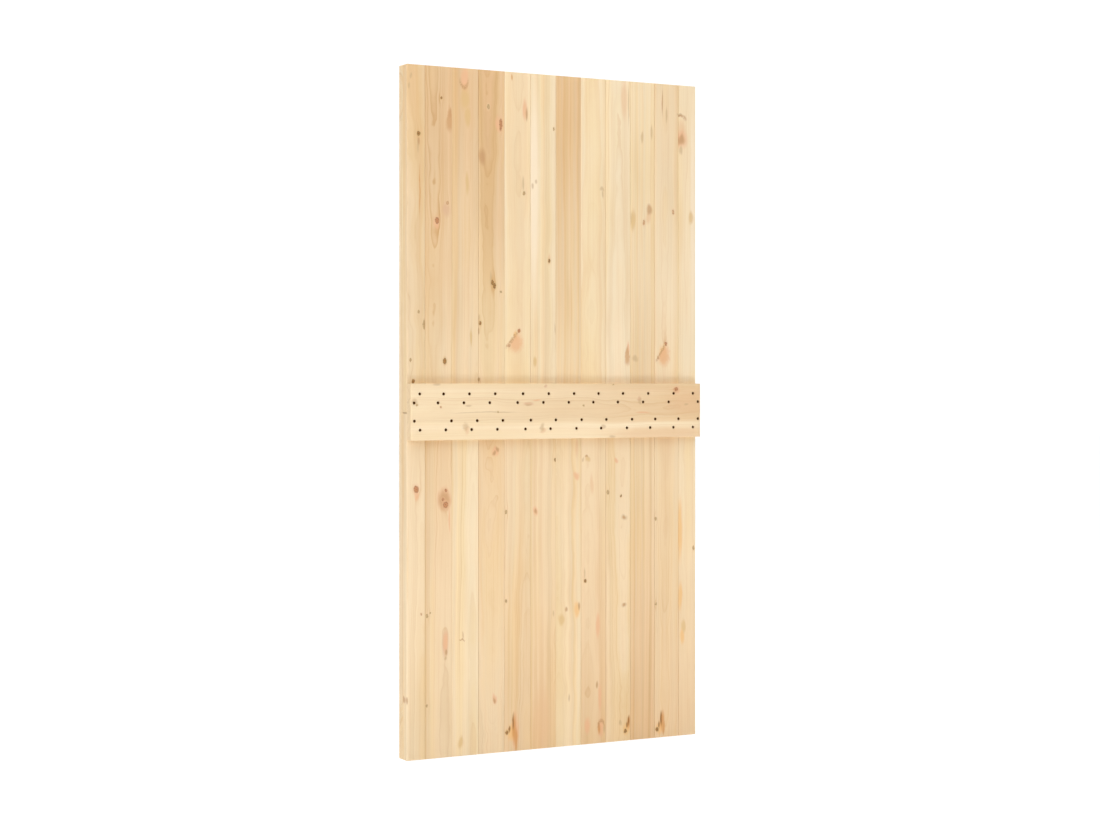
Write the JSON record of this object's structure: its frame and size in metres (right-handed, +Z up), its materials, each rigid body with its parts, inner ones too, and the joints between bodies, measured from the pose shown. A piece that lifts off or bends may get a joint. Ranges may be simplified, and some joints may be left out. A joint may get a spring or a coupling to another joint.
{
  "type": "sliding door leaf",
  "caption": "Sliding door leaf of upright tongue-and-groove pine boards butted at mid height, backed by a plain frame, with a full-width screwed ledge across the face.",
  "frame": {"origin": "middle of the top face of the frame's top rail, where a hanging leaf is carried", "axes": "+Z up along the leaf's height, +X to the right seen from the ledge side, +Y from the ledge side through the leaf to the frame side"},
  "size_m": [1, 0.084, 2.045],
  "materials": {
    "board_pine": "planed, unfinished knotty pine with the grain upright",
    "frame_pine": "planed, unfinished knotty pine with the grain along each member",
    "ledge_pine": "planed, unfinished knotty pine with the grain level",
    "screw_steel": "dark phosphated steel"
  },
  "bodies": {
    "root": {"frame_bottom_rail": "frame_pine", "frame_left_stile": "frame_pine", "frame_middle_rail": "frame_pine", "frame_right_stile": "frame_pine", "frame_top_rail": "frame_pine", "lower_board_01": "board_pine", "lower_board_02": "board_pine", "lower_board_03": "board_pine", "lower_board_04": "board_pine", "lower_board_05": "board_pine", "lower_board_06": "board_pine", "lower_board_07": "board_pine", "lower_board_08": "board_pine", "lower_board_09": "board_pine", "lower_board_10": "board_pine", "lower_board_11": "board_pine", "lower_board_12": "board_pine", "middle_ledge": "ledge_pine", "upper_board_01": "board_pine", "upper_board_02": "board_pine", "upper_board_03": "board_pine", "upper_board_04": "board_pine", "upper_board_05": "board_pine", "upper_board_06": "board_pine", "upper_board_07": "board_pine", "upper_board_08": "board_pine", "upper_board_09": "board_pine", "upper_board_10": "board_pine", "upper_board_11": "board_pine", "upper_board_12": "board_pine"}
  },
  "joints": []
}
